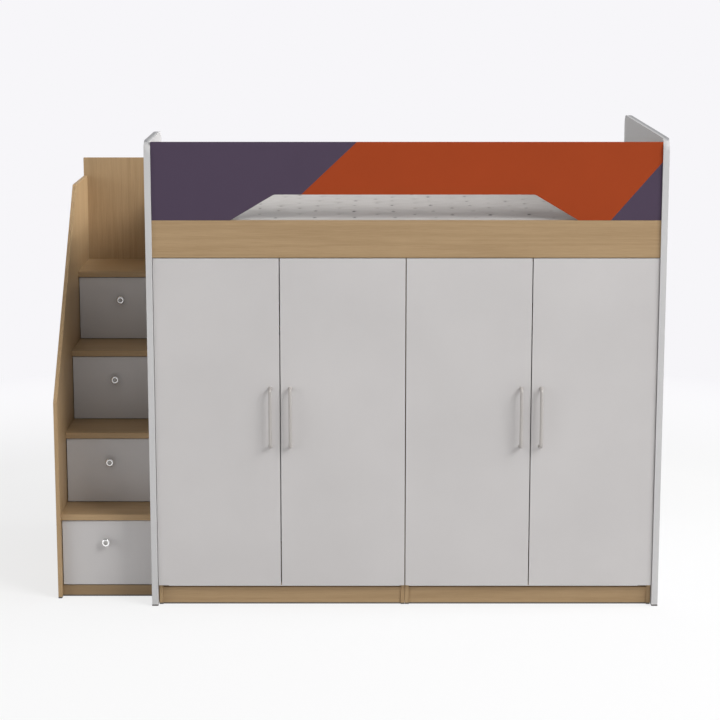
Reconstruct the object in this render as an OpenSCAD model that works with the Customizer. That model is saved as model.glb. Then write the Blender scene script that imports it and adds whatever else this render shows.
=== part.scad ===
// Loft bed over two wardrobes, with a stair chest of four drawers at its left end.
// +X runs along the bed, +Y from its front to the wall, and +Z up from the floor.

/* [Mattress] */
// Length of the mattress
mattress_len = 2000; // [1900:10:2100]
// Width of the mattress
mattress_w = 1200; // [1150:10:1300]
// Thickness of the mattress along its edge
mattress_h = 100; // [80:5:140]
// Rise of the mattress's middle over its edge
mattress_crown = 12; // [6:1:20]
// Depth of the tufts sewn into the mattress's top
tuft_depth = 5; // [2:0.5:8]
// Gap between the mattress and the boards round it
mattress_gap = 4; // [2:1:8]

/* [Bed] */
// Height of the two side panels
bed_h = 1900; // [1800:5:2000]
// How far the left side panel stays below the right one
left_drop = 9; // [0:1:12]
// Thickness of the side panels
side_t = 25; // [18:1:32]
// Thickness of the laminated boards
board_t = 16; // [15:1:18]
// Radius of the side panels' upper corners
corner_r = 45; // [20:5:70]
// How far the rails and doors lie behind the front edges of the side panels
face_setback = 8; // [4:1:14]
// Height of the front rail
rail_h = 148; // [130:2:170]
// How far the guard panel stays below the top of the side panels
guard_drop = 14; // [8:1:30]
// Height of the guard panel
guard_h = 308; // [270:2:340]
// Height of the cut-out in the guard panel
cutout_h = 102; // [80:2:140]
// Width of the cut-out at its top
cutout_top_w = 1028; // [900:4:1100]
// How far each end of the cut-out slants outwards
cutout_slant = 172; // [120:4:220]
// How far the cut-out's middle lies to the left of the bed's middle
cutout_shift = 8; // [0:1:20]
// Depth of the raised part of the left side panel
raised_d = 490; // [400:10:560]
// Height of the back rail
back_rail_h = 278; // [230:4:310]
// Height of the battens under the slats
ledger_h = 32; // [24:1:40]
// Depth of the battens under the slats
ledger_d = 30; // [24:1:40]
// Thickness of the slats
slat_t = 18; // [15:1:22]
// Width of each slat
slat_w = 80; // [60:2:90]
// Number of slats
slat_n = 15; // [12:1:16]

/* [Wardrobes] */
// Depth of the wardrobe carcasses
wardrobe_d = 600; // [520:10:640]
// Gap between each wardrobe and the side panel beside it
wardrobe_side_gap = 3; // [2:1:5]
// Gap between the two wardrobes
wardrobe_mid_gap = 1; // [0.5:0.5:5]
// Gap between the wardrobes and the rail above them
wardrobe_top_gap = 2; // [1:1:4]
// Height of the wardrobes' bottom boards over the floor
plinth_h = 80; // [60:2:100]
// How far the plinths lie behind the carcass fronts
plinth_setback = 5; // [1:1:10]
// Gap between the plinths and the bottom boards over them
plinth_top_gap = 8; // [2:1:12]
// Height of the room over the shelf
hat_room_h = 262; // [220:2:320]
// Depth of the gap behind the shelf
shelf_back_gap = 20; // [0:2:40]
// Distance of the shelf behind the carcass front
shelf_front_gap = 20; // [10:2:40]
// Distance of the shelf pins from the shelf's front and back edges
pin_inset = 60; // [40:5:100]
// Thickness of the wardrobe backs
back_t = 4; // [3:1:6]
// Diameter of the hanging rods
rod_d = 25; // [20:1:30]
// Drop of the hanging rods below the shelves
rod_drop = 60; // [50:2:90]

/* [Doors] */
// Height of the doors' lower edges
door_z = 85; // [70:1:100]
// Gap between neighbouring doors
door_gap = 4; // [3:1:5]
// Gap between the doors and the rail above them
door_top_gap = 3; // [2:1:5]
// Gap between the doors' backs and the carcasses
door_back_gap = 2; // [2:1:4]
// Distance from a door's end to its outer hinges
hinge_inset = 100; // [80:5:140]
// Diameter of the hinge cups
cup_d = 35; // [26:1:35]
// Depth of the hinge cups
cup_h = 12; // [10:0.5:12.5]
// Distance of the cup centres from the door's hinge edge
cup_inset = 22.5; // [20.5:0.5:24]
// Clearance between a hinge arm's tip and the link pin in the cup
link_clear = 0.3; // [0.2:0.1:0.5]
// Clearance round each hinge cup
cup_clear = 0.2; // [0.1:0.1:0.3]
// Diameter of the handle bar
handle_d = 13; // [10:1:14]
// Radius of the bends in the handle bar
handle_bend = 12; // [9:1:14]
// Length of the handles
handle_len = 248; // [160:2:300]
// How far the handles stand out from the doors
handle_out = 35; // [30:1:42]
// Distance of the handles from the doors' free edges
handle_inset = 38; // [30:1:60]
// Height of the handles' middle
handle_z = 784; // [600:4:1000]

/* [Stairs] */
// Width of the stair chest
stair_w = 396; // [360:4:440]
// Height of the first tread
first_rise = 350; // [340:2:360]
// Height from each tread to the next
rise = 300; // [290:2:310]
// Distance of the first tread's nose behind the bed's front
first_nose = 128; // [100:2:150]
// Depth from the first tread's nose to the second's
run_1 = 192; // [170:2:210]
// Depth from the second tread's nose to the third's
run_2 = 253; // [230:1:270]
// Depth from the third tread's nose to the fourth's
run_3 = 269; // [250:1:280]
// Thickness of the treads
tread_t = 25; // [18:1:28]
// How far the tread noses stand out from the drawer fronts
nose_over = 8; // [3:1:12]
// How far the outer side stands out from the first nose
side_over = 26; // [10:1:40]
// Height at which the outer side's front begins to slant
slant_z = 825; // [760:5:880]
// How far the outer side stands over the low part of the bed's left side panel
side_over_panel = 50; // [10:5:100]
// Depth from the fourth nose to the top of the slant
slant_end = 11; // [0:1:40]
// Height of the stair's plinth
stair_plinth_h = 47; // [40:1:70]

/* [Drawers] */
// Gap beside and under each drawer front
front_gap = 3; // [2:1:4]
// Gap between each drawer front and the tread over it
front_top_gap = 3; // [2:1:10]
// Thickness of the drawer box walls
box_t = 12; // [10:1:15]
// Thickness of the drawer bottoms
box_bottom_t = 6; // [4:1:8]
// Height of the drawer boxes
box_h = 200; // [150:5:220]
// Length of the three lower drawer boxes
box_len = 500; // [400:10:550]
// Space left behind the top drawer box
box_back_gap = 22; // [15:1:40]
// Space for a runner at each side of a drawer
runner_gap = 13; // [13:0.5:15]
// Height of the runners over the bottom of a drawer box
runner_z = 40; // [30:1:60]
// Diameter of the drawer knobs
knob_d = 34; // [28:1:40]
// How far the knobs stand out
knob_out = 28; // [26:1:34]
// Distance of the upper three knobs below the top of their drawer fronts
knob_drop = 96; // [80:2:120]
// Distance of the lowest knob below the top of its drawer front
low_knob_drop = 87; // [70:1:120]
// How far the knobs sit to the left of the drawers' middle
knob_shift = 7; // [0:1:20]

/* [Hidden] */
$fn = 48;
oak = [0.66, 0.54, 0.41];
light_grey = [0.77, 0.76, 0.75];
guard_colour = [0.64, 0.27, 0.15];
steel = [0.72, 0.72, 0.73];
nylon = [0.93, 0.93, 0.92];
fabric = [0.80, 0.80, 0.80];

// Bed
inner_w = mattress_len + 2 * mattress_gap;
inner_x = inner_w / 2;
outer_x = inner_x + side_t;
face_y = face_setback;
frame_y = face_y + board_t;
bed_d = frame_y + mattress_w + 2 * mattress_gap + board_t;
back_y = bed_d - board_t;
left_h = bed_h - left_drop;
guard_top = bed_h - guard_drop;
rail_top = guard_top - guard_h;
rail_z = rail_top - rail_h;
back_top_z = rail_z + back_rail_h;
ledger_top = rail_z + ledger_h;
slat_top = ledger_top + slat_t;
soft_gap = 0.3;
cutout_corner_r = 24;

// Wardrobes and doors
door_t = board_t;
carcass_y = face_y + door_t + door_back_gap;
carcass_back_y = carcass_y + wardrobe_d;
wardrobe_h = rail_z - wardrobe_top_gap;
wardrobe_w = (inner_w - 2 * wardrobe_side_gap - wardrobe_mid_gap) / 2;
bay_w = wardrobe_w - 2 * board_t;
shelf_z = wardrobe_h - board_t - hat_room_h;
shelf_y = carcass_y + shelf_front_gap;
shelf_d = wardrobe_d - shelf_front_gap - shelf_back_gap;
rod_z = shelf_z - board_t - rod_drop;
rod_y = carcass_y + wardrobe_d / 2;
shelf_end_gap = 1;
pin_d = 5;
pin_hole_clear = 0.2;
pin_in = 8;
pin_out = 10;
socket_t = 8;
socket_floor = 1.5;
socket_wall = 8;
rod_wall = 1.5;
rod_clear = 0.3;
rod_end_gap = 0.5;
door_pitch = inner_w / 4;
door_w = door_pitch - door_gap;
door_top = rail_z - door_top_gap;
door_h = door_top - door_z;
hinge_levels = [door_z + hinge_inset, door_z + door_h / 2, door_top - hinge_inset];
handle_r = handle_d / 2;
handle_axis = handle_out - handle_r;
cup_flange_t = 1;
plate_t = 3;
plate_y = 22;
plate_len = 42;
plate_w = 18;
wing_w = 54;
wing_t = 2.4;
wing_step = 1;
arm_w = 13;
arm_h = 14;
arm_front = 6;
tip_w = 2.6;
tip_below_pin = 2;
screw_d = 6;
screw_proud = 0.8;

// Stairs
stair_x = -outer_x - stair_w;
stair_in_x = stair_x + board_t;
bay_x0 = stair_in_x;
bay_x1 = -outer_x;
noses = [first_nose, first_nose + run_1, first_nose + run_1 + run_2,
         first_nose + run_1 + run_2 + run_3];
tread_tops = [for (k = [0 : 3]) first_rise + k * rise];
bay_floors = [stair_plinth_h, tread_tops[0], tread_tops[1], tread_tops[2]];
side_front_y = first_nose - side_over;
slant_end_y = noses[3] + slant_end;
stair_side_h = rail_top + side_over_panel;

// Drawers
front_faces = [for (n = noses) n + nose_over];
front_bottoms = [for (z = bay_floors) z + front_gap];
front_tops = [for (z = tread_tops) z - tread_t - front_top_gap];
box_x0 = bay_x0 + runner_gap;
box_x1 = bay_x1 - runner_gap;
top_box_len = back_y - box_back_gap - front_faces[3] - board_t;
box_lens = [box_len, box_len, box_len, top_box_len];
box_lift = 17;
box_bottoms = [for (z = front_bottoms) z + box_lift];
knob_x = (bay_x0 + bay_x1) / 2 - knob_shift;
knob_drops = [low_knob_drop, knob_drop, knob_drop, knob_drop];

// The origin is the middle of the whole object's box, at the floor
mid_x = (stair_x + outer_x) / 2;
mid_y = (face_y - handle_out + bed_d) / 2;

// Helpers

module placed() {
    translate([-mid_x, -mid_y, 0])
        children();
}

module board(low, high) {
    translate(low)
        cube(high - low);
}

// Turns a drawing in Y and Z into a plate that is t thick along X
module side_plate(t) {
    rotate([90, 0, 90])
        linear_extrude(t)
            children();
}

// Turns a drawing in X and Z into a bar that runs to the back for length l
module front_profile(l) {
    translate([0, l, 0])
        rotate([90, 0, 0])
            linear_extrude(l)
                children();
}

// What a rounded corner of radius r takes off, at the outer corner of a drawing
module corner_off(r) {
    translate([-r, -r])
        difference() {
            square(r + 1);
            circle(r);
        }
}

// What a fillet of radius r adds in an inner corner of a drawing
module corner_fill(r) {
    difference() {
        square(r);
        translate([r, r])
            circle(r);
    }
}

function arc(centre, r, from, to, steps) =
    [for (i = [0 : steps])
        let (a = from + (to - from) * i / steps)
        centre + r * [cos(a), sin(a)]];

// Bed

module left_side_panel() {
    color(light_grey)
    placed()
    translate([-outer_x, 0, 0])
        side_plate(side_t) {
            difference() {
                union() {
                    square([bed_d, rail_top]);
                    square([raised_d, left_h]);
                }
                translate([0, left_h])
                    mirror([1, 0])
                        corner_off(corner_r);
                translate([raised_d, left_h])
                    corner_off(corner_r);
            }
            translate([raised_d, rail_top])
                corner_fill(corner_r);
        }
}

module right_side_panel() {
    color(light_grey)
    placed()
    translate([inner_x, 0, 0])
        side_plate(side_t)
            difference() {
                square([bed_d, bed_h]);
                translate([0, bed_h])
                    mirror([1, 0])
                        corner_off(corner_r);
                translate([bed_d, bed_h])
                    corner_off(corner_r);
            }
}

module front_rail() {
    color(oak)
    placed()
        board([-inner_x, face_y, rail_z], [inner_x, frame_y, rail_top]);
}

// Half of the cut-out's outline, from its top middle to its lower corner
function cutout_half(slope = atan2(cutout_h, cutout_slant), r = cutout_corner_r) =
    let (flat_end = cutout_top_w / 2 - r * tan(slope / 2))
    concat(
        arc([flat_end, cutout_h - r], r, 90, 90 - slope, 6),
        [[cutout_top_w / 2 + cutout_slant, 0],
         [cutout_top_w / 2 + cutout_slant, -1],
         [0, -1],
         [0, cutout_h]]);

module guard_panel() {
    color(guard_colour)
    placed()
    translate([0, face_y, rail_top])
        front_profile(board_t)
            difference() {
                translate([-inner_x, 0])
                    square([inner_w, guard_top - rail_top]);
                translate([-cutout_shift, 0]) {
                    polygon(cutout_half());
                    mirror([1, 0])
                        polygon(cutout_half());
                }
            }
}

module back_rail() {
    color(oak)
    placed()
        board([-inner_x, back_y, rail_z], [inner_x, bed_d, back_top_z]);
}

// Battens on the front and back rails, and a beam that stands on the wardrobes
module ledgers() {
    color(oak)
    placed() {
        board([-inner_x, frame_y, rail_z], [inner_x, frame_y + ledger_d, ledger_top]);
        board([-inner_x, back_y - ledger_d, rail_z], [inner_x, back_y, ledger_top]);
        board([-inner_x, carcass_back_y - ledger_d, wardrobe_h],
              [inner_x, carcass_back_y, ledger_top]);
    }
}

module slats() {
    pitch = (mattress_len - slat_w) / (slat_n - 1);
    color(oak)
    placed()
        for (i = [0 : slat_n - 1])
            board([-mattress_len / 2 + i * pitch, frame_y + 1, ledger_top],
                  [-mattress_len / 2 + i * pitch + slat_w, back_y - 1, slat_top]);
}

// The mattress's grid: a narrow cell at each edge, then even ones
grid_x = 26;
grid_y = 16;
edge_cell = 45;
top_inset = 20;

function grid_at(i, n, half) =
    i == 0 ? -half :
    i == n ? half :
    -half + edge_cell + (2 * half - 2 * edge_cell) * (i - 1) / (n - 2);

// A point of the grid drawn in by inset, with the four corners rounded off
function grid_point(i, j, inset) =
    let (hx = mattress_len / 2 - inset,
         hy = mattress_w / 2 - inset,
         corner = (i == 0 || i == grid_x) && (j == 0 || j == grid_y),
         cut = corner ? edge_cell * (1 - sqrt(0.5)) : 0,
         x = grid_at(i, grid_x, hx),
         y = grid_at(j, grid_y, hy))
    [x - sign(x) * cut, y - sign(y) * cut];

// The grid's outer points, once round
grid_rim = concat(
    [for (i = [0 : grid_x - 1]) [i, 0]],
    [for (j = [0 : grid_y - 1]) [grid_x, j]],
    [for (i = [grid_x : -1 : 1]) [i, grid_y]],
    [for (j = [grid_y : -1 : 1]) [0, j]]);

// Crowned top with rows of tufts, and soft rounded edges
module mattress() {
    h = mattress_h;
    section = [
        [14, 0], [4, 4], [0, 14], [0, h - 26], [3, h - 13], [9, h - 5], [top_inset, h]
    ];
    n = len(grid_rim);
    rim_points = [for (s = section, g = grid_rim)
        let (p = grid_point(g.x, g.y, s[0]))
        [p.x, p.y, s[1]]];
    inner_points = [for (j = [1 : grid_y - 1], i = [1 : grid_x - 1])
        let (p = grid_point(i, j, top_inset),
             u = 2 * p.x / mattress_len,
             v = 2 * p.y / mattress_w,
             rise = mattress_crown * (1 - pow(u, 4)) * (1 - pow(v, 4)),
             tuft = (i + j) % 2 == 0 ? tuft_depth : 0)
        [p.x, p.y, h + max(rise + tuft_depth - tuft, 1)]];
    points = concat(rim_points, inner_points, [[0, 0, 0]]);
    top_rim = n * (len(section) - 1);

    // The number of the top's point at i, j
    function top_at(i, j) =
        j == 0 && i < grid_x ? top_rim + i :
        i == grid_x && j < grid_y ? top_rim + grid_x + j :
        j == grid_y && i > 0 ? top_rim + grid_x + grid_y + (grid_x - i) :
        i == 0 ? top_rim + (j == 0 ? 0 : n - j) :
        len(rim_points) + (j - 1) * (grid_x - 1) + i - 1;

    side_faces = [for (k = [0 : len(section) - 2], i = [0 : n - 1])
        let (a = k * n + i, b = k * n + (i + 1) % n)
        each [[a, a + n, b], [b, a + n, b + n]]];
    top_faces = [for (j = [0 : grid_y - 1], i = [0 : grid_x - 1])
        let (a = top_at(i, j), b = top_at(i + 1, j),
             c = top_at(i + 1, j + 1), d = top_at(i, j + 1))
        each (i + j) % 2 == 0 ? [[a, d, b], [b, d, c]] : [[a, c, b], [a, d, c]]];
    bottom_faces = [for (i = [0 : n - 1]) [len(points) - 1, i, (i + 1) % n]];
    color(fabric)
    placed()
    translate([0, (frame_y + back_y) / 2, slat_top + soft_gap])
        polyhedron(points, concat(side_faces, top_faces, bottom_faces));
}

// Wardrobes

function wardrobe_x0(n) = n == 1 ? -inner_x + wardrobe_side_gap : wardrobe_mid_gap / 2;
function wardrobe_x1(n) = wardrobe_x0(n) + wardrobe_w;

// Heights of the shelf pins' middles, and their places from front to back
pin_z = shelf_z - board_t - pin_d / 2;
pin_ys = [shelf_y + pin_inset, shelf_y + shelf_d - pin_inset];

module pin_holes(x, dir) {
    for (y = pin_ys)
        translate([x, y, pin_z])
            rotate([0, dir * 90, 0])
                translate([0, 0, -1])
                    cylinder(d = pin_d + 2 * pin_hole_clear, h = pin_in + 1.5);
}

module wardrobe_side(x) {
    board([x, carcass_y, 0], [x + board_t, carcass_back_y, wardrobe_h]);
}

module wardrobe_left_side(n) {
    color(oak)
    placed()
        difference() {
            wardrobe_side(wardrobe_x0(n));
            pin_holes(wardrobe_x0(n) + board_t, -1);
        }
}

module wardrobe_right_side(n) {
    color(oak)
    placed()
        difference() {
            wardrobe_side(wardrobe_x1(n) - board_t);
            pin_holes(wardrobe_x1(n) - board_t, 1);
        }
}

module wardrobe_board(n, top_z, depth) {
    color(oak)
    placed()
        board([wardrobe_x0(n) + board_t, carcass_y, top_z - board_t],
              [wardrobe_x1(n) - board_t, carcass_y + depth, top_z]);
}

module wardrobe_top(n) wardrobe_board(n, wardrobe_h, wardrobe_d);

module wardrobe_bottom(n) wardrobe_board(n, plinth_h + board_t, wardrobe_d);

module wardrobe_shelf(n) {
    color(oak)
    placed()
        board([wardrobe_x0(n) + board_t + shelf_end_gap, shelf_y, shelf_z - board_t],
              [wardrobe_x1(n) - board_t - shelf_end_gap, shelf_y + shelf_d, shelf_z]);
}

module wardrobe_backs() {
    color(light_grey)
    placed()
        for (n = [1, 2])
            board([wardrobe_x0(n), carcass_back_y, plinth_h],
                  [wardrobe_x1(n), carcass_back_y + back_t, wardrobe_h]);
}

module wardrobe_plinths() {
    color(oak)
    placed()
        for (n = [1, 2])
            board([wardrobe_x0(n) + board_t, carcass_y + plinth_setback, 0],
                  [wardrobe_x1(n) - board_t, carcass_y + plinth_setback + board_t,
                   plinth_h - plinth_top_gap]);
}

module hanging_rods() {
    color(steel)
    placed()
        for (n = [1, 2])
            translate([wardrobe_x0(n) + board_t + socket_floor + rod_end_gap, rod_y, rod_z])
                rotate([0, 90, 0])
                    difference() {
                        cylinder(d = rod_d, h = bay_w - 2 * (socket_floor + rod_end_gap));
                        translate([0, 0, -1])
                            cylinder(d = rod_d - 2 * rod_wall, h = bay_w);
                    }
}

// A socket for the end of a rod, on the face at x and opening towards dir
module rod_socket(x, dir) {
    translate([x, rod_y, rod_z])
        rotate([0, dir * 90, 0])
            difference() {
                cylinder(d = rod_d + 2 * socket_wall, h = socket_t);
                translate([0, 0, socket_floor])
                    cylinder(d = rod_d + 2 * rod_clear, h = socket_t);
            }
}

module shelf_pins(x, dir) {
    for (y = pin_ys)
        translate([x, y, pin_z])
            rotate([0, dir * 90, 0])
                translate([0, 0, -pin_in])
                    cylinder(d = pin_d, h = pin_in + pin_out);
}

module wardrobe_fittings() {
    color(steel)
    placed()
        for (n = [1, 2]) {
            rod_socket(wardrobe_x0(n) + board_t, 1);
            rod_socket(wardrobe_x1(n) - board_t, -1);
            shelf_pins(wardrobe_x0(n) + board_t, 1);
            shelf_pins(wardrobe_x1(n) - board_t, -1);
        }
}

// Doors: 1 and 3 hang at their left edges, 2 and 4 at their right edges

function door_x0(k) = -inner_x + door_gap / 2 + (k - 1) * door_pitch;
function hinged_left(k) = k % 2 == 1;

// From a door's hinge edge, with X running into the door and Y back from its face
module at_hinge(k) {
    translate([hinged_left(k) ? door_x0(k) : door_x0(k) + door_w, face_y, 0])
        mirror([hinged_left(k) ? 0 : 1, 0, 0])
            children();
}

module door_panel(k) {
    color(light_grey)
    placed()
    at_hinge(k)
        difference() {
            board([0, 0, door_z], [door_w, door_t, door_top]);
            for (z = hinge_levels)
                translate([cup_inset, door_t + 1, z])
                    rotate([90, 0, 0])
                        cylinder(d = cup_d + 2 * cup_clear, h = cup_h + cup_clear + 1);
        }
}

// Link pins across the cup: their places from its middle, and their depth in it
link_pin_d = 2.5;
link_pin_xs = [-5, 4];
link_pin_depth = 5.4;

// A pressed cup with its flange on the door's back and two link pins across it
module hinge_cup() {
    flange_w = 26;
    flange_h = 58;
    wall = 1;
    difference() {
        union() {
            rotate([90, 0, 0])
                cylinder(d = cup_d, h = cup_h);
            translate([-flange_w / 2, 0, -flange_h / 2])
                cube([flange_w, cup_flange_t, flange_h]);
        }
        translate([0, cup_flange_t + 0.5, 0])
            rotate([90, 0, 0])
                intersection() {
                    cylinder(d = cup_d - 2 * wall, h = cup_h - wall + cup_flange_t + 0.5);
                    translate([-flange_w / 2 + wall, -cup_d, 0])
                        cube([flange_w - 2 * wall, 2 * cup_d, 2 * cup_h]);
                }
        for (s = [-1, 1])
            translate([0, cup_flange_t + 0.5, s * (flange_h / 2 - 6)])
                rotate([90, 0, 0])
                    cylinder(d = 4.5, h = cup_flange_t + 1);
    }
    for (x = link_pin_xs)
        translate([x, -link_pin_depth, -cup_d / 2 + 1.5])
            cylinder(d = link_pin_d, h = cup_d - 3);
}

module door_hinge_cups(k) {
    color(steel)
    placed()
    at_hinge(k)
        for (z = hinge_levels)
            translate([cup_inset, door_t, z])
                hinge_cup();
}

// A mounting plate screwed to the carcass, with the hinge's pressed arm on it, whose
// tip reaches into the cup beside the far link pin. in is how far the carcass's inner
// face lies from the door's hinge edge.
module hinge_arm(in) {
    tip_x = cup_inset + link_pin_xs[1] - link_pin_d / 2 - link_clear - in;
    tip_y = -door_back_gap - link_pin_depth - tip_below_pin;
    neck_y = arm_front / 3;
    board([0, plate_y, -plate_w / 2], [plate_t, plate_y + plate_len, plate_w / 2]);
    board([0, plate_y + plate_len / 3, -wing_w / 2],
          [wing_t, plate_y + plate_len * 2 / 3, wing_w / 2]);
    translate([0, 0, -arm_w / 2])
        linear_extrude(arm_w)
            polygon([
                [plate_t - wing_step, plate_y + arm_front * 0.6],
                [plate_t + wing_step, plate_y - arm_front / 2],
                [plate_t + wing_step, arm_front],
                [tip_x - tip_w, neck_y],
                [tip_x - tip_w, tip_y],
                [tip_x, tip_y],
                [tip_x, neck_y / 2],
                [arm_h - wing_step, arm_front],
                [arm_h, 2 * arm_front],
                [arm_h - wing_step, plate_y + plate_len - arm_front],
                [arm_h * 0.6, plate_y + plate_len - arm_front / 2],
                [plate_t - wing_step, plate_y + plate_len - arm_front / 2]]);
    for (y = [plate_y + screw_d / 2, plate_y + plate_len * 0.55])
        translate([arm_h - 3 * wing_step, y, 0])
            rotate([0, 90, 0])
                cylinder(d = screw_d, h = 3 * wing_step + screw_proud);
}

module hinge_arms() {
    // A wardrobe side's inner face, seen from the hinge edge of its door
    outer_in = wardrobe_side_gap - door_gap / 2 + board_t;
    middle_in = wardrobe_mid_gap / 2 - door_gap / 2 + board_t;
    color(steel)
    placed()
        for (k = [1 : 4], z = hinge_levels)
            at_hinge(k)
                let (in = k == 1 || k == 4 ? outer_in : middle_in)
                translate([in, door_t + door_back_gap, z])
                    hinge_arm(in);
}

// A round bar bent to the door at both ends, on flared feet
module door_handle(k) {
    half = handle_len / 2 - handle_r;
    straight = half - handle_bend;
    leg = handle_axis - handle_bend;
    color(steel)
    placed()
    at_hinge(k)
    translate([door_w - handle_inset, 0, handle_z]) {
        translate([0, -handle_axis, -straight])
            cylinder(d = handle_d, h = 2 * straight);
        for (s = [0, 1])
            mirror([0, 0, s]) {
                translate([0, -leg, straight])
                    rotate([90, 0, -90])
                        rotate_extrude(angle = 90)
                            translate([handle_bend, 0])
                                circle(d = handle_d);
                translate([0, 0, half])
                    rotate([90, 0, 0]) {
                        cylinder(d = handle_d, h = leg);
                        cylinder(d1 = handle_d + 5, d2 = handle_d, h = leg * 0.45);
                    }
            }
    }
}

// Stairs

module stair_side() {
    color(oak)
    placed()
    translate([stair_x, 0, 0])
        side_plate(board_t)
            polygon([
                [side_front_y, 0], [back_y, 0], [back_y, stair_side_h],
                [slant_end_y, stair_side_h], [side_front_y, slant_z]]);
}

module stair_back() {
    color(oak)
    placed()
        board([stair_x, back_y, 0], [-outer_x, bed_d, back_top_z]);
}

module stair_tread(k) {
    color(oak)
    placed()
        board([bay_x0, noses[k - 1], tread_tops[k - 1] - tread_t],
              [bay_x1, back_y, tread_tops[k - 1]]);
}

module stair_floor() {
    color(oak)
    placed()
        board([bay_x0, front_faces[0] + board_t, stair_plinth_h - board_t],
              [bay_x1, back_y, stair_plinth_h]);
}

module stair_plinth() {
    color(oak)
    placed()
        board([bay_x0, front_faces[0], 0],
              [bay_x1, front_faces[0] + board_t, stair_plinth_h]);
}

// Runners: a fixed channel with a roller at its front, and a moving channel with a
// roller at its back. X runs from the wall of the bay towards the drawer.

runner_h = 28;
runner_wall = 1.2;
roller_w = 5;
front_roller_r = 7.5;
back_roller_r = 8.2;
roller_clear = 0.3;

module roller(x, y, z, r, pin_from, pin_to) {
    translate([x, y, z])
        rotate([0, 90, 0])
            cylinder(r = r, h = roller_w);
    translate([pin_from, y, z])
        rotate([0, 90, 0])
            cylinder(r = 2, h = pin_to - pin_from);
}

module fixed_runner(length) {
    h = runner_h / 2;
    front_profile(length)
        polygon([
            [0, -h], [runner_gap - 1.5, -h], [runner_gap - 1.5, -h + runner_wall],
            [runner_wall, -h + runner_wall], [runner_wall, h - runner_wall],
            [6, h - runner_wall], [6, h], [0, h]]);
    roller(2.5, 12, 0, front_roller_r, 0.5, 8);
}

module moving_runner(length) {
    flange_z = front_roller_r + roller_clear;
    web_x = runner_gap - runner_wall;
    back_z = -runner_h / 2 + runner_wall + roller_clear + back_roller_r;
    front_profile(length)
        polygon([
            [2.5, flange_z], [runner_gap, flange_z], [runner_gap, flange_z + runner_wall],
            [2.5, flange_z + runner_wall]]);
    front_profile(length)
        polygon([
            [web_x, -6], [runner_gap, -6], [runner_gap, flange_z + runner_wall],
            [web_x, flange_z + runner_wall]]);
    roller(web_x - 1.3 - roller_w, length - 12, back_z, back_roller_r,
           web_x - 3, web_x + 0.5);
}

// Both runners of drawer k, given as children for the left wall of its bay
module at_bay_walls(k) {
    z = box_bottoms[k - 1] + runner_z;
    y = front_faces[k - 1] + board_t;
    translate([bay_x0, y, z])
        children();
    translate([bay_x1, y, z])
        mirror([1, 0, 0])
            children();
}

module stair_runners() {
    color(steel)
    placed()
        for (k = [1 : 4])
            at_bay_walls(k)
                fixed_runner(box_lens[k - 1] - 10);
}

module drawer_runners(k) {
    color(steel)
    placed()
        at_bay_walls(k)
            moving_runner(box_lens[k - 1] - 4);
}

// Drawers

module drawer_front(k) {
    color(light_grey)
    placed()
        board([bay_x0 + front_gap, front_faces[k - 1], front_bottoms[k - 1]],
              [bay_x1 - front_gap, front_faces[k - 1] + board_t, front_tops[k - 1]]);
}

module drawer_box(k) {
    y0 = front_faces[k - 1] + board_t;
    y1 = y0 + box_lens[k - 1];
    z0 = box_bottoms[k - 1];
    lift = 10;
    color(light_grey)
    placed()
        difference() {
            board([box_x0, y0, z0], [box_x1, y1, z0 + box_h]);
            board([box_x0 + box_t, y0 + box_t, z0 + lift + box_bottom_t],
                  [box_x1 - box_t, y1 - box_t, z0 + box_h + 1]);
            board([box_x0 + box_t, y0 + box_t, z0 - 1],
                  [box_x1 - box_t, y1 - box_t, z0 + lift]);
        }
}

// A turned button with a rounded rim and a dished face
module drawer_knob(k) {
    head = 12;
    dish_r = knob_d * 0.7;
    dish = 2;
    color(steel)
    placed()
    translate([knob_x, front_faces[k - 1], front_tops[k - 1] - knob_drops[k - 1]])
        rotate([90, 0, 0])
            rotate_extrude()
                difference() {
                    union() {
                        square([knob_d * 0.3, 2.5]);
                        square([knob_d * 0.18, knob_out - head / 2]);
                        translate([0, knob_out - head])
                            square([knob_d / 2 - head / 2, head]);
                        translate([knob_d / 2 - head / 2, knob_out - head / 2])
                            intersection() {
                                circle(d = head);
                                translate([-0.5, -head])
                                    square(2 * head);
                            }
                    }
                    translate([0, knob_out + dish_r - dish])
                        intersection() {
                            circle(dish_r, $fn = 96);
                            translate([0, -2 * dish_r])
                                square([dish_r, 2 * dish_r]);
                        }
                }
}

left_side_panel();
right_side_panel();
front_rail();
guard_panel();
back_rail();
ledgers();
slats();
mattress();
wardrobe_left_side(1);  // wardrobe_1_left_side
wardrobe_right_side(1);  // wardrobe_1_right_side
wardrobe_top(1);  // wardrobe_1_top
wardrobe_bottom(1);  // wardrobe_1_bottom
wardrobe_shelf(1);  // wardrobe_1_shelf
wardrobe_left_side(2);  // wardrobe_2_left_side
wardrobe_right_side(2);  // wardrobe_2_right_side
wardrobe_top(2);  // wardrobe_2_top
wardrobe_bottom(2);  // wardrobe_2_bottom
wardrobe_shelf(2);  // wardrobe_2_shelf
wardrobe_backs();
wardrobe_plinths();
hanging_rods();
wardrobe_fittings();
hinge_arms();
door_panel(1);  // door_1_panel
door_panel(2);  // door_2_panel
door_panel(3);  // door_3_panel
door_panel(4);  // door_4_panel
door_handle(1);  // door_1_handle
door_handle(2);  // door_2_handle
door_handle(3);  // door_3_handle
door_handle(4);  // door_4_handle
door_hinge_cups(1);  // door_1_hinge_cups
door_hinge_cups(2);  // door_2_hinge_cups
door_hinge_cups(3);  // door_3_hinge_cups
door_hinge_cups(4);  // door_4_hinge_cups
stair_side();
stair_back();
stair_tread(1);  // stair_tread_1
stair_tread(2);  // stair_tread_2
stair_tread(3);  // stair_tread_3
stair_tread(4);  // stair_tread_4
stair_floor();
stair_plinth();
stair_runners();
drawer_front(1);  // drawer_1_front
drawer_front(2);  // drawer_2_front
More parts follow.
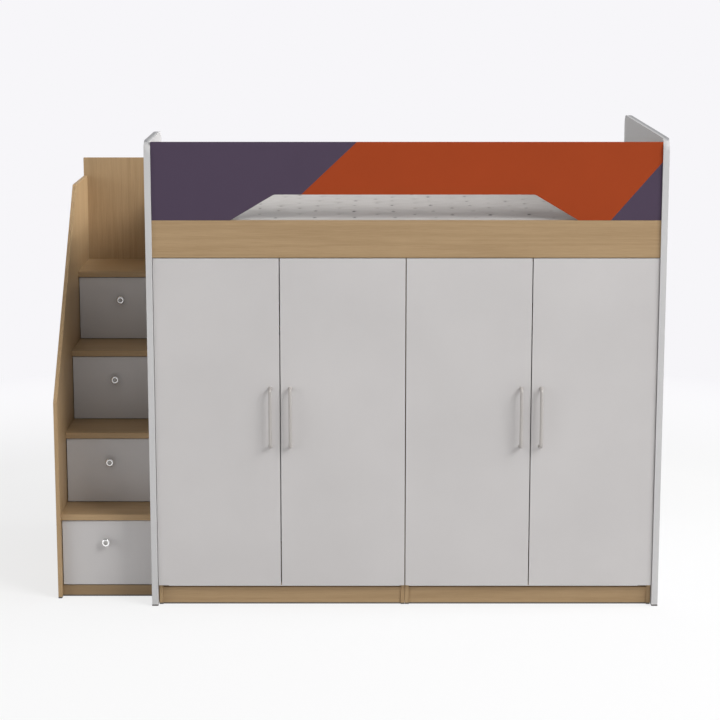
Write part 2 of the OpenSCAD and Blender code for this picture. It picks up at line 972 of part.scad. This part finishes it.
drawer_front(3);  // drawer_3_front
drawer_front(4);  // drawer_4_front
drawer_box(1);  // drawer_1_box
drawer_box(2);  // drawer_2_box
drawer_box(3);  // drawer_3_box
drawer_box(4);  // drawer_4_box
drawer_runners(1);  // drawer_1_runners
drawer_runners(2);  // drawer_2_runners
drawer_runners(3);  // drawer_3_runners
drawer_runners(4);  // drawer_4_runners
drawer_knob(1);  // drawer_1_knob
drawer_knob(2);  // drawer_2_knob
drawer_knob(3);  // drawer_3_knob
drawer_knob(4);  // drawer_4_knob
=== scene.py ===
"""Looks of a loft bed over two wardrobes, with a stair chest of drawers at its left end.

Everything is in metres: +X along the bed, +Y from its front to the wall, +Z up.
"""

import math

import bmesh
import bpy
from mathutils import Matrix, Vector


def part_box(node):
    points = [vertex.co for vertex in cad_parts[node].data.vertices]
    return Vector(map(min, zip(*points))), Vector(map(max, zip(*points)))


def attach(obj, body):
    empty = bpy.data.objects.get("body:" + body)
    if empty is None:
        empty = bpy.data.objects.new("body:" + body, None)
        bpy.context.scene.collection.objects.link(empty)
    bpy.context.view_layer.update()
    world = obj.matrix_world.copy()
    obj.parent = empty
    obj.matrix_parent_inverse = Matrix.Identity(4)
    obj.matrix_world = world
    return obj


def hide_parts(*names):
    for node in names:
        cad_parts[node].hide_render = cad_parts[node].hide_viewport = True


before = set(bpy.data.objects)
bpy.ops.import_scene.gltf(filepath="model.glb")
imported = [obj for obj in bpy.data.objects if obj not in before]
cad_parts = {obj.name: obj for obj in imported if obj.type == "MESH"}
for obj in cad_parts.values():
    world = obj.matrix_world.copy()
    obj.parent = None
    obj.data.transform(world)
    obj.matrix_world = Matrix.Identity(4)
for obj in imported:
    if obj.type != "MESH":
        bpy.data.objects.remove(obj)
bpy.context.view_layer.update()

# Colours, as sRGB values from 0 to 255
OAK = (167, 140, 105)
OAK_DARK = (158, 131, 97)
OAK_LIGHT = (174, 147, 112)
# A darker copy of the oak for the stair's plinth: painted shade near the floor
OAK_SHADED = (146, 123, 93)
OAK_SHADED_DARK = (138, 115, 86)
OAK_PORE = (128, 101, 72)
GREY = (198, 195, 194)
SIDE_GREY = (196, 195, 195)
# Painted shade on the tops of the bed's side panels
TOP_SHADE_GREY = (152, 152, 154)
# Painted contact shade along the bottom of boards that stand on the floor
FOOT_SHADE = (92, 88, 84)
ORANGE = (158, 64, 27)
PURPLE = (77, 65, 83)
PINE = (206, 176, 128)
PINE_DARK = (186, 150, 102)
METAL = (180, 175, 171)
CHROME = (246, 246, 246)
DISH = (158, 156, 153)
ZINC = (176, 178, 182)
KNIT = (181, 177, 174)
# Painted shade in the tufts' dimples
TUFT_SHADE = (96, 93, 90)
FLOOR = (203, 203, 204)
FLOOR_GLOW = (255, 255, 255)
WALL = (247, 246, 249)


def linear(rgb):
    """A colour of 0 to 255 as the linear values that shaders take."""
    def channel(c):
        c /= 255
        return c / 12.92 if c <= 0.04045 else ((c + 0.055) / 1.055) ** 2.4

    return tuple(channel(c) for c in rgb) + (1.0,)


def add_object(name, data):
    """Puts a new object with data into the scene."""
    obj = bpy.data.objects.new(name, data)
    bpy.context.scene.collection.objects.link(obj)
    return obj


# Node trees

# Most values of a noise lie between these two
NOISE_LOW = 0.3
NOISE_HIGH = 0.7


class Graph:
    """Short calls to build a node tree."""

    def __init__(self, tree):
        self.tree = tree
        tree.nodes.clear()

    def add(self, kind, **values):
        node = self.tree.nodes.new(kind)
        for key, value in values.items():
            setattr(node, key, value)
        return node

    def link(self, a, b):
        self.tree.links.new(a, b)

    def put(self, socket, value):
        """Links value to socket if it's an output, and sets it otherwise."""
        if isinstance(value, bpy.types.NodeSocket):
            self.link(value, socket)
        elif value is not None:
            socket.default_value = value

    def place(self):
        """The point on the piece, in its own frame."""
        return self.add("ShaderNodeTexCoord").outputs["Object"]

    def xyz(self, vector):
        node = self.add("ShaderNodeSeparateXYZ")
        self.put(node.inputs[0], vector)
        return node.outputs

    def scaled(self, vector, scale, shift=(0, 0, 0)):
        node = self.add("ShaderNodeMapping")
        self.put(node.inputs["Vector"], vector)
        node.inputs["Scale"].default_value = scale
        node.inputs["Location"].default_value = shift
        return node.outputs["Vector"]

    def length(self, vector):
        node = self.add("ShaderNodeVectorMath", operation="LENGTH")
        self.link(vector, node.inputs[0])
        return node.outputs["Value"]

    def math(self, operation, a, b=None):
        node = self.add("ShaderNodeMath", operation=operation)
        self.put(node.inputs[0], a)
        self.put(node.inputs[1], b)
        return node.outputs[0]

    def times(self, a, b):
        return self.math("MULTIPLY", a, b)

    def span(self, factor, low, high, to_low=0, to_high=1, shape="LINEAR"):
        """Turns the range low to high into to_low to to_high, and holds its ends."""
        node = self.add("ShaderNodeMapRange", interpolation_type=shape)
        self.put(node.inputs["Value"], factor)
        node.inputs["From Min"].default_value = low
        node.inputs["From Max"].default_value = high
        node.inputs["To Min"].default_value = to_low
        node.inputs["To Max"].default_value = to_high
        return node.outputs["Result"]

    def by_noise(self, noise, low, high):
        """A value from low to high that rises with a noise."""
        return self.span(noise, NOISE_LOW, NOISE_HIGH, low, high)

    def noise(self, vector, scale, detail=2.0, rough=0.5, distortion=0.0):
        node = self.add("ShaderNodeTexNoise")
        self.put(node.inputs["Vector"], vector)
        node.inputs["Scale"].default_value = scale
        node.inputs["Detail"].default_value = detail
        node.inputs["Roughness"].default_value = rough
        node.inputs["Distortion"].default_value = distortion
        return node.outputs["Fac"]

    def ramp(self, factor, stops):
        """A colour by factor, from stops that each give its place and its colour."""
        node = self.add("ShaderNodeValToRGB")
        elements = node.color_ramp.elements
        while len(elements) < len(stops):
            elements.new(0.5)
        for element, (at, rgb) in zip(elements, stops):
            element.position = at
            element.color = linear(rgb)
        self.put(node.inputs["Fac"], factor)
        return node.outputs["Color"]

    def clouded(self, noise, rgb, share):
        """The colour rgb, which sinks to share of itself where a noise is low."""
        return self.ramp(noise, [(NOISE_LOW, [c * share for c in rgb]), (NOISE_HIGH, rgb)])

    def mix(self, factor, a, b):
        node = self.add("ShaderNodeMix", data_type="RGBA")
        self.put(node.inputs["Factor"], factor)
        self.put(node.inputs["A"], a)
        self.put(node.inputs["B"], b)
        return node.outputs["Result"]

    def mix_shaders(self, factor, a, b, surface):
        """Shows a at factor 0 and b at factor 1 on surface."""
        node = self.add("ShaderNodeMixShader")
        self.link(factor, node.inputs["Fac"])
        self.link(a.outputs[0], node.inputs[1])
        self.link(b.outputs[0], node.inputs[2])
        self.link(node.outputs[0], surface.inputs["Surface"])

    def seen_rays(self):
        """1 for rays that the camera, a mirror or glass sends, and 1 for a mirror's alone."""
        rays = self.add("ShaderNodeLightPath").outputs
        plain = self.math("MAXIMUM", rays["Is Camera Ray"], rays["Is Transmission Ray"])
        mirror = rays["Is Glossy Ray"]
        return self.math("MAXIMUM", plain, mirror), mirror


class Nodes(Graph):
    """The node tree of a new material."""

    def __init__(self, name):
        self.material = bpy.data.materials.new(name)
        self.material.use_nodes = True
        super().__init__(self.material.node_tree)
        self.output = self.add("ShaderNodeOutputMaterial")
        self.shader = self.add("ShaderNodeBsdfPrincipled")
        self.link(self.shader.outputs["BSDF"], self.output.inputs["Surface"])

    def foot_shaded(self, colour, place):
        """Adds painted contact shade, a dark strip along the bottom of a board that stands on the
        floor.
        """
        foot_shade_mask = self.math("LESS_THAN", self.xyz(place)["Z"], FOOT_SHADE_HEIGHT)
        return self.mix(foot_shade_mask, colour, linear(FOOT_SHADE))

    def bump(self, height, strength, distance):
        node = self.add("ShaderNodeBump")
        node.inputs["Strength"].default_value = strength
        node.inputs["Distance"].default_value = distance
        self.put(node.inputs["Height"], height)
        self.link(node.outputs["Normal"], self.shader.inputs["Normal"])

    def finish(self, colour, roughness, metallic=0.0, specular=0.5):
        """Sets the shader's own values, and gives the material."""
        self.put(self.shader.inputs["Base Color"], colour)
        self.put(self.shader.inputs["Roughness"], roughness)
        self.shader.inputs["Metallic"].default_value = metallic
        self.shader.inputs["Specular IOR Level"].default_value = specular
        return self.material


# Laminates

# Height of the painted contact shade along the bottom of the boards that stand on the floor
FOOT_SHADE_HEIGHT = 0.006

# Oak's noises are stretched along the grain, which runs along one axis of a board
ALONG = 0.4
ACROSS = 16
GRAIN_SCALES = {
    "x": (ALONG, ACROSS, ACROSS),
    "y": (ACROSS, ALONG, ACROSS),
    "z": (ACROSS, ACROSS, ALONG),
}
BAND_SCALE = 0.8
BAND_TURNS = 40.0
STREAK_SCALE = 22.0
PORE_SCALE = 90.0
# How much of the oak's colour the slow bands make, the rest being fine streaks
BAND_SHARE = 0.16
# The noise at which a pore begins and is full, its share of the colour, and its depth
PORE_RANGE = (0.62, 0.70)
PORE_SHARE = 0.22
PORE_DEPTH = 0.6


def oak_laminate(name, grain, light=OAK_LIGHT, middle=OAK, dark=OAK_DARK, shift=0.0):
    """Printed oak: slow bands, fine streaks and short dark pores, all along the grain."""
    n = Nodes(name)
    place = n.place()
    along = n.scaled(place, GRAIN_SCALES[grain], (shift, shift * 0.7, shift * 1.3))
    slow = n.noise(along, scale=BAND_SCALE, distortion=0.4)
    bands = n.span(n.math("SINE", n.times(slow, BAND_TURNS)), -1, 1)
    streaks = n.noise(along, scale=STREAK_SCALE, detail=5.0, rough=0.6, distortion=0.15)
    mixed = n.math("ADD", n.times(bands, BAND_SHARE), n.times(streaks, 1 - BAND_SHARE))
    colour = n.ramp(mixed, [(NOISE_LOW, dark), (0.5, middle), (NOISE_HIGH, light)])
    pore = n.span(n.noise(along, scale=PORE_SCALE, rough=0.55), *PORE_RANGE)
    colour = n.mix(n.times(pore, PORE_SHARE), colour, linear(OAK_PORE))
    # Painted contact shade along the board's bottom
    colour = n.foot_shaded(colour, place)
    n.bump(n.math("SUBTRACT", streaks, n.times(pore, PORE_DEPTH)), strength=0.10, distance=0.0004)
    return n.finish(colour, n.by_noise(streaks, 0.46, 0.56), specular=0.25)


# The fine pearl in the surface of a plain face
PEARL_SCALE = 520.0

# Middle of the bed between its side panels, and half its width over them
BED_MIDDLE = (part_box("left_side_panel")[0].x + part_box("right_side_panel")[1].x) / 2
BED_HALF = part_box("right_side_panel")[1].x - BED_MIDDLE
# On a side panel's top the painted shade comes in between these distances from its outer side
TOP_SHADE_FROM = 0.020
TOP_SHADE_TO = 0.011
# How much of that painted shade the rest of the top shows, and the upward part of a face's normal
# at which the top begins and is full
TOP_SHADE_SHARE = 0.15
TOP_NORMALS = (0.70, 0.90)


def plain_laminate(name, rgb, top_shade=None):
    """A plain melamine face: faint clouding and a fine pearl in its surface.

    With top_shade, it's a side panel of the bed: its top takes that colour as painted shade,
    most towards its outer side, and its foot takes painted contact shade.
    """
    n = Nodes(name)
    place = n.place()
    cloud = n.noise(place, scale=2.2, detail=3.0)
    pearl = n.noise(place, scale=PEARL_SCALE, rough=0.6)
    pale = [min(255, c * 1.012) for c in rgb]
    deep = [c * 0.985 for c in rgb]
    colour = n.ramp(cloud, [(NOISE_LOW, deep), (NOISE_HIGH, pale)])
    if top_shade:
        up = n.xyz(n.add("ShaderNodeNewGeometry").outputs["Normal"])["Z"]
        out = n.math("ABSOLUTE", n.math("SUBTRACT", n.xyz(place)["X"], BED_MIDDLE))
        # Painted shade on the panel's top, strongest near its outer side
        share = n.times(n.span(up, *TOP_NORMALS),
                        n.span(out, BED_HALF - TOP_SHADE_FROM, BED_HALF - TOP_SHADE_TO, TOP_SHADE_SHARE, 1))
        colour = n.mix(share, colour, linear(top_shade))
        # Painted contact shade along the panel's bottom
        colour = n.foot_shaded(colour, place)
    n.bump(pearl, strength=0.10, distance=0.0003)
    return n.finish(colour, n.by_noise(cloud, 0.47, 0.53), specular=0.15)


# The guard's slanted colour edges: x - slant * z
LEFT_SLANT = 1.061
LEFT_EDGE = -1.9984
RIGHT_SLANT = 0.864
RIGHT_EDGE = -0.3605


def guard_laminate():
    """Orange between two purple fields, with straight slanted edges."""
    n = Nodes("guard_laminate")
    place = n.place()
    x, z = n.xyz(place)["X"], n.xyz(place)["Z"]

    def beside(slant):
        return n.math("SUBTRACT", x, n.times(z, slant))

    left = n.math("LESS_THAN", beside(LEFT_SLANT), LEFT_EDGE)
    right = n.math("GREATER_THAN", beside(RIGHT_SLANT), RIGHT_EDGE)
    purple = n.math("MAXIMUM", left, right)
    cloud = n.noise(place, scale=3.0, detail=3.0)
    colour = n.mix(purple, n.clouded(cloud, ORANGE, 0.97), n.clouded(cloud, PURPLE, 0.97))
    pearl = n.noise(place, scale=PEARL_SCALE, rough=0.6)
    n.bump(pearl, strength=0.08, distance=0.0003)
    return n.finish(colour, n.by_noise(cloud, 0.5, 0.58), specular=0.12)


# Metals


def brushed_metal(name, rgb, roughness, stretch=(60, 60, 1), metallic=1.0):
    """Metal with fine marks, which stretch draws out along one axis or leaves even."""
    n = Nodes(name)
    marks = n.noise(n.scaled(n.place(), stretch), scale=40.0, detail=3.0, rough=0.6)
    n.bump(marks, strength=0.05, distance=0.0002)
    rough = n.by_noise(marks, roughness - 0.04, roughness + 0.05)
    return n.finish(n.clouded(marks, rgb, 0.94), rough, metallic)


# Where a knob's dish ends and its rim begins, and the fine turned rings in both, all by the
# distance from its axis as a share of its width
DISH_END = 0.25
RIM_START = 0.31
TURNED_RINGS = 420.0
DISH_ROUGHNESS = 0.42
RIM_ROUGHNESS = 0.14


def dished_knob():
    """A polished rim round a darker satin dish."""
    n = Nodes("dished_knob")
    centred = n.add("ShaderNodeVectorMath", operation="SUBTRACT")
    n.link(n.add("ShaderNodeTexCoord").outputs["Generated"], centred.inputs[0])
    centred.inputs[1].default_value = (0.5, 0.5, 0.5)
    away = n.length(n.scaled(centred.outputs["Vector"], (1, 0, 1)))
    rim = n.span(away, DISH_END, RIM_START)
    n.bump(n.math("SINE", n.times(away, TURNED_RINGS)), strength=0.04, distance=0.0001)
    rough = n.span(rim, 0, 1, DISH_ROUGHNESS, RIM_ROUGHNESS)
    return n.finish(n.mix(rim, linear(DISH), linear(CHROME)), rough, metallic=0.8)


materials = {
    "oak_x": oak_laminate("oak_laminate_along_x", "x"),
    "oak_z": oak_laminate("oak_laminate_along_z", "z", shift=7.4),
    "pine_x": oak_laminate("pine_along_x", "x", PINE, PINE, PINE_DARK, shift=1.7),
    "pine_y": oak_laminate("pine_along_y", "y", PINE, PINE, PINE_DARK, shift=5.2),
    # The stair's plinth: oak darkened as painted shade
    "oak_low": oak_laminate("oak_laminate_shaded", "x", OAK_SHADED, OAK_SHADED, OAK_SHADED_DARK, shift=2.2),
    "grey": plain_laminate("grey_laminate", GREY),
    "side": plain_laminate("side_laminate", SIDE_GREY, top_shade=TOP_SHADE_GREY),
    "guard": guard_laminate(),
    "handle": brushed_metal("satin_metal", METAL, roughness=0.30, metallic=0.1),
    "knob": dished_knob(),
    "zinc": brushed_metal("zinc_plate", ZINC, roughness=0.34, stretch=(8, 8, 8)),
}

# Pieces

# Materials of pieces by the end of their name, and of single pieces
ENDING_MATERIALS = {
    "_handle": "handle",
    "_knob": "knob",
    "_cups": "zinc",
    "_runners": "zinc",
    "side_panel": "side",
    "_side": "oak_z",
}
PIECE_MATERIALS = {
    "guard_panel": "guard",
    "slats": "pine_y",
    "ledgers": "pine_x",
    "stair_plinth": "oak_low",
    "stair_back": "oak_z",
    "wardrobe_backs": "grey",
    "hinge_arms": "zinc",
    "wardrobe_fittings": "zinc",
    "hanging_rods": "zinc",
}
# Roundings of the edges by material, where metal keeps the edges that it has
BOARD_ROUNDING = 0.0012
EDGE_ROUNDING = {"side": 0.003, "grey": 0.0007, "handle": 0, "knob": 0, "zinc": 0}
# Edges sharper than this many degrees are rounded, and points closer than this are merged
ROUNDED_ANGLE = 50
MERGED_DISTANCE = 0.00002


def material_of(name):
    """The key in materials for a piece."""
    for ending, kind in ENDING_MATERIALS.items():
        if name.endswith(ending):
            return kind
    plain = "grey" if name.startswith(("door_", "drawer_")) else "oak_x"
    return PIECE_MATERIALS.get(name, plain)


def merge_points(obj):
    """Merges points that lie on one another, which also drops faces without any area."""
    weld = obj.modifiers.new("weld", "WELD")
    weld.merge_threshold = MERGED_DISTANCE


def soften_edges(obj, width):
    """Rounds a board's edges a little, so that they catch the light."""
    bevel = obj.modifiers.new("bevel", "BEVEL")
    bevel.width = width
    bevel.segments = 2
    bevel.limit_method = "ANGLE"
    bevel.angle_limit = math.radians(ROUNDED_ANGLE)
    bevel.harden_normals = True


for name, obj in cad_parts.items():
    kind = material_of(name)
    obj.data.materials.clear()
    obj.data.materials.append(materials[kind])
    rounding = EDGE_ROUNDING.get(kind, BOARD_ROUNDING)
    if rounding or kind == "knob":
        merge_points(obj)
    if rounding:
        soften_edges(obj, rounding)


# Mattress

# The cells of its top's mesh, and the radius of its upright corners
CELLS_X = 400
CELLS_Y = 150
CORNER = 0.055
# Height of the mattress at its edge, how far its top lies inside its sides, and how far its
# crown stays under the solid's top
EDGE_H = 0.100
TOP_INSET = 0.020
CROWN_GAP = 0.001
# How far from the edge the top has risen by two thirds, and the height of its ripples
SHOULDER = 0.085
RIPPLE = 0.0016
# The tufts lie on every second crossing of a grid with this pitch, each swayed a little
TUFT_X = 0.0779
TUFT_Y = 0.0764
TUFT_SWAY = 0.009
TUFT_RADIUS = 0.020
TUFT_DEPTH = 0.0055
# Half the width and depth of the painted shade in each tuft, and how near the edge it fades
TUFT_SHADE_X = 0.007
TUFT_SHADE_Y = 0.015
TUFT_SHADE_FADE = 0.02
# The mattress's side from its top edge down and under it: insets and heights
SIDE_OUTLINE = [
    (0.012, 0.0975),
    (0.006, 0.093),
    (0.002, 0.086),
    (0.0, 0.077),
    (0.0008, 0.064),
    (0.0015, 0.050),
    (0.0008, 0.036),
    (0.0, 0.023),
    (0.0012, 0.014),
    (0.004, 0.007),
    (0.008, 0.003),
    (0.014, 0.0),
    (0.060, 0.0),
]
STITCH_SCALE = 420.0


def mattress_cover():
    """Knitted ticking, with painted shade in each tuft."""
    n = Nodes("mattress_knit")
    place = n.place()
    knit = n.add("ShaderNodeTexVoronoi")
    n.put(knit.inputs["Vector"], place)
    knit.inputs["Scale"].default_value = STITCH_SCALE
    tuft_shade = n.add("ShaderNodeAttribute", attribute_name="tuft")
    colour = n.clouded(n.noise(place, scale=9.0, detail=3.0), KNIT, 0.96)
    # Painted shade in each tuft's dimple
    colour = n.mix(tuft_shade.outputs["Fac"], colour, linear(TUFT_SHADE))
    n.bump(knit.outputs["Distance"], strength=0.25, distance=0.0008)
    n.shader.inputs["Sheen Weight"].default_value = 0.2
    return n.finish(colour, 0.85, specular=0.2)


def tufted(x, y):
    """How deep the cover is drawn in at a point, and how much of a tuft's painted shade is there.
    """
    depth, tuft_shade = 0.0, 0.0
    i, j = math.floor(x / TUFT_X), math.floor(y / TUFT_Y)
    for a in (i, i + 1):
        for b in (j, j + 1):
            if (a + b) % 2 == 1:
                # Sines of large steps sway neighbouring tufts differently
                sway = math.sin(a * 12.9 + b * 78.2)
                dx = x - a * TUFT_X - TUFT_SWAY * sway
                dy = y - b * TUFT_Y - TUFT_SWAY * math.sin(a * 41.3 - b * 27.1)
                depth += math.exp(-(math.hypot(dx, dy) / TUFT_RADIUS) ** 2)
                # Painted shade, stretched from front to back, darker in some tufts than in others
                away = math.hypot(dx / TUFT_SHADE_X, dy / TUFT_SHADE_Y)
                tuft_shade = max(tuft_shade, (0.6 - 0.4 * sway) * min(max(2.4 - 2 * away, 0), 1))
    return depth, tuft_shade


def mattress():
    """A padded form in place of the mattress's solid, with crowned top and tufts."""
    low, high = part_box("mattress")
    middle = (low + high) / 2
    half = (high - low) / 2
    edge_z = low.z + EDGE_H
    crown_h = high.z - CROWN_GAP - edge_z
    mesh = bpy.data.meshes.new("mattress_padded")
    bm = bmesh.new()
    tuft_shade_layer = bm.verts.layers.float.new("tuft")

    def rounded(u, v, inset):
        """A point of the outline at u and v from -1 to 1, with its corners rounded."""
        hx, hy = half.x - inset, half.y - inset
        x, y = u * hx, v * hy
        over_x, over_y = max(abs(x) - (hx - CORNER), 0), max(abs(y) - (hy - CORNER), 0)
        if over_x > 0 and over_y > 0:
            shrink = max(over_x, over_y) / math.hypot(over_x, over_y)
            x = math.copysign(hx - CORNER + over_x * shrink, x)
            y = math.copysign(hy - CORNER + over_y * shrink, y)
        return middle.x + x, middle.y + y

    def top_point(u, v):
        """A point of the crowned top, drawn in at its tufts."""
        x, y = rounded(u, v, TOP_INSET)
        rim = min((1 - abs(u)) * half.x, (1 - abs(v)) * half.y)
        crown = crown_h * (1 - u ** 4) * (1 - v ** 4)
        ripple = RIPPLE * math.sin(x * 31 + 2 * math.sin(y * 17)) * math.sin(y * 43)
        depth, tuft_shade = tufted(x, y)
        rise = (1 - math.exp(-rim / SHOULDER)) * (crown + ripple - TUFT_DEPTH * depth)
        vert = bm.verts.new((x, y, edge_z + rise))
        vert[tuft_shade_layer] = tuft_shade * min(rim / TUFT_SHADE_FADE, 1)
        return vert

    def share(cell, cells):
        """The place of a line between cells, from -1 to 1."""
        return 2 * cell / cells - 1

    grid = [[top_point(share(i, CELLS_X), share(j, CELLS_Y)) for i in range(CELLS_X + 1)]
            for j in range(CELLS_Y + 1)]
    for j in range(CELLS_Y):
        for i in range(CELLS_X):
            bm.faces.new((grid[j][i], grid[j][i + 1], grid[j + 1][i + 1], grid[j + 1][i]))

    around = ([(i, 0) for i in range(CELLS_X)]
              + [(CELLS_X, j) for j in range(CELLS_Y)]
              + [(i, CELLS_Y) for i in range(CELLS_X, 0, -1)]
              + [(0, j) for j in range(CELLS_Y, 0, -1)])
    ring = [grid[j][i] for i, j in around]
    for inset, height in SIDE_OUTLINE:
        following = []
        for i, j in around:
            x, y = rounded(share(i, CELLS_X), share(j, CELLS_Y), inset)
            following.append(bm.verts.new((x, y, low.z + height)))
        for k, _ in enumerate(ring):
            m = (k + 1) % len(ring)
            bm.faces.new((ring[m], ring[k], following[k], following[m]))
        ring = following
    bm.faces.new(ring)

    bmesh.ops.recalc_face_normals(bm, faces=bm.faces)
    bm.to_mesh(mesh)
    bm.free()
    for polygon in mesh.polygons:
        polygon.use_smooth = True
    obj = add_object("mattress_padded", mesh)
    mesh.materials.append(mattress_cover())
    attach(obj, "frame")
    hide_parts("mattress")


mattress()


# Stage

# The floor lies just under the object, and reaches this far aside and back, and to the front
FLOOR_Z = -0.0005
FLOOR_REACH = 40
FLOOR_FRONT = 20
# Between these distances from the object's middle the floor turns into the backdrop
FLOOR_FADE = (2.3, 4.6)
# Share and strength of the backdrop's colour that the floor shows beside the object, where
# its paint adds the rest up to white
FLOOR_LIFT = 0.62
FLOOR_STRENGTH = 1.16
# How much of the backdrop's light is missing where mirrors see the front of the room, its
# top and its left side, and the Y, Z and X of a direction between which that comes in
FRONT_DIM = 0.15
FRONT_FADE = (-0.985, -0.9)
TOP_DIM = 0.90
TOP_FADE = (0.12, 0.5)
LEFT_DIM = 0.30
LEFT_FADE = (-0.9, 0.0)
# The Y of the floor between which mirrors see it dim towards the front in the same way
FLOOR_FRONT_FADE = (-0.7, -2.2)


def floor_material():
    """Pale matt paint that fades into the backdrop's colour away from the object."""
    n = Nodes("floor_paint")
    place = n.place()
    n.finish(n.clouded(n.noise(place, scale=0.4), FLOOR, 0.995), 0.9, specular=0.0)
    away = n.length(place)
    seen, mirror = n.seen_rays()
    lift = n.span(away, *FLOOR_FADE, FLOOR_LIFT, 1, "SMOOTHSTEP")
    share = n.times(n.math("MAXIMUM", lift, mirror), seen)
    tint = n.span(away, *FLOOR_FADE)
    front = n.span(n.xyz(place)["Y"], *FLOOR_FRONT_FADE, 0, FRONT_DIM, "SMOOTHSTEP")
    glow = n.span(away, *FLOOR_FADE, FLOOR_STRENGTH, 1)
    backdrop = n.add("ShaderNodeEmission")
    n.link(n.mix(tint, linear(FLOOR_GLOW), linear(WALL)), backdrop.inputs["Color"])
    n.link(n.math("SUBTRACT", glow, n.times(front, mirror)), backdrop.inputs["Strength"])
    n.mix_shaders(share, n.shader, backdrop, n.output)
    return n.material


def floor():
    """A wide plane under the object."""
    mesh = bpy.data.meshes.new("floor")
    corners = [
        (-FLOOR_REACH, -FLOOR_FRONT, FLOOR_Z),
        (FLOOR_REACH, -FLOOR_FRONT, FLOOR_Z),
        (FLOOR_REACH, FLOOR_REACH, FLOOR_Z),
        (-FLOOR_REACH, FLOOR_REACH, FLOOR_Z),
    ]
    mesh.from_pydata(corners, [], [list(range(len(corners)))])
    mesh.materials.append(floor_material())
    obj = add_object("floor", mesh)


floor()


def backdrop_world(strength):
    """A soft white dome for light, seen as the backdrop's plain colour.

    Mirrors see that colour too, a little darker at the front and on the left, and nearly
    dark at the top.
    """
    world = bpy.data.worlds.new("studio")
    world.use_nodes = True
    bpy.context.scene.world = world
    n = Graph(world.node_tree)
    dome = n.add("ShaderNodeBackground")
    dome.inputs["Color"].default_value = (1, 1, 1, 1)
    dome.inputs["Strength"].default_value = strength
    backdrop = n.add("ShaderNodeBackground")
    backdrop.inputs["Color"].default_value = linear(WALL)
    seen, mirror = n.seen_rays()
    way = n.xyz(n.add("ShaderNodeTexCoord").outputs["Generated"])
    front = n.span(way["Y"], *FRONT_FADE, 1 - FRONT_DIM, 1, "SMOOTHSTEP")
    top = n.span(way["Z"], *TOP_FADE, 1, 1 - TOP_DIM, "SMOOTHSTEP")
    left = n.span(way["X"], *LEFT_FADE, 1 - LEFT_DIM, 1, "SMOOTHSTEP")
    room = n.times(n.times(front, top), left)
    missing = n.times(n.math("SUBTRACT", 1.0, room), mirror)
    n.link(n.math("SUBTRACT", 1.0, missing), backdrop.inputs["Strength"])
    n.mix_shaders(seen, dome, backdrop, n.add("ShaderNodeOutputWorld"))


# Lamps

# What the lamps point at, and the strength of the dome of light around
LIGHT_AIM = (0.0, 0.0, 0.9)
DOME = 0.48
# Narrow beams from the right, at these rises in degrees, light the head of the stair
STAIR_HEAD = (-1.30, 0.42, 1.60)
BEAM_RISES = (24, 34, 44)
BEAM_SOFTNESS = 0.8


def hang_light(data, aim, turn, rise, distance):
    """Hangs a lamp where aim sees it turn degrees to the right of the front and rise up."""
    turn, rise = math.radians(turn), math.radians(rise)
    towards = Vector((math.sin(turn) * math.cos(rise), -math.cos(turn) * math.cos(rise),
                      math.sin(rise)))
    obj = add_object(data.name, data)
    obj.location = Vector(aim) + distance * towards
    obj.rotation_euler = towards.to_track_quat("Z", "Y").to_euler()


def soft_light(name, aim, turn, rise, distance, size, level):
    """A square lamp, which at level 1 alone shows a matt face in its written colour."""
    data = bpy.data.lights.new(name, "AREA")
    data.size = size
    data.energy = level * (math.pi * distance) ** 2
    hang_light(data, aim, turn, rise, distance)


def beam_light(name, aim, turn, rise, distance, reach, level):
    """A lamp like soft_light's, whose light fades out within reach of aim."""
    data = bpy.data.lights.new(name, "SPOT")
    data.spot_size = 2 * math.atan(reach / distance)
    data.spot_blend = 1.0
    data.shadow_soft_size = BEAM_SOFTNESS
    data.energy = level * (2 * math.pi * distance) ** 2
    hang_light(data, aim, turn, rise, distance)


soft_light("key", LIGHT_AIM, turn=52, rise=37, distance=16, size=7.5, level=0.66)
soft_light("side", LIGHT_AIM, turn=88, rise=24, distance=12, size=4.0, level=0.38)
soft_light("fill", LIGHT_AIM, turn=-60, rise=12, distance=12, size=5.0, level=0.20)
for rise in BEAM_RISES:
    beam_light("stair_beam", STAIR_HEAD, turn=88, rise=rise, distance=12, reach=0.65, level=0.48)
backdrop_world(DOME)


# Camera

# Place in metres, pitch downwards in radians, and lens and sensor in millimetres
CAMERA_PLACE = (0.0155, -8.9125, 2.622)
CAMERA_PITCH = 0.1906
CAMERA_LENS = 106.15
CAMERA_SENSOR = 36
# How far the camera sees, in metres
CAMERA_REACH = 200

camera_data = bpy.data.cameras.new("camera")
camera_data.sensor_width = CAMERA_SENSOR
camera_data.lens = CAMERA_LENS
camera_data.clip_end = CAMERA_REACH
camera = add_object("camera", camera_data)
camera.location = CAMERA_PLACE
camera.rotation_euler = (math.pi / 2 - CAMERA_PITCH, 0, 0)
bpy.context.scene.camera = camera
bpy.context.scene.view_settings.view_transform = "Standard"
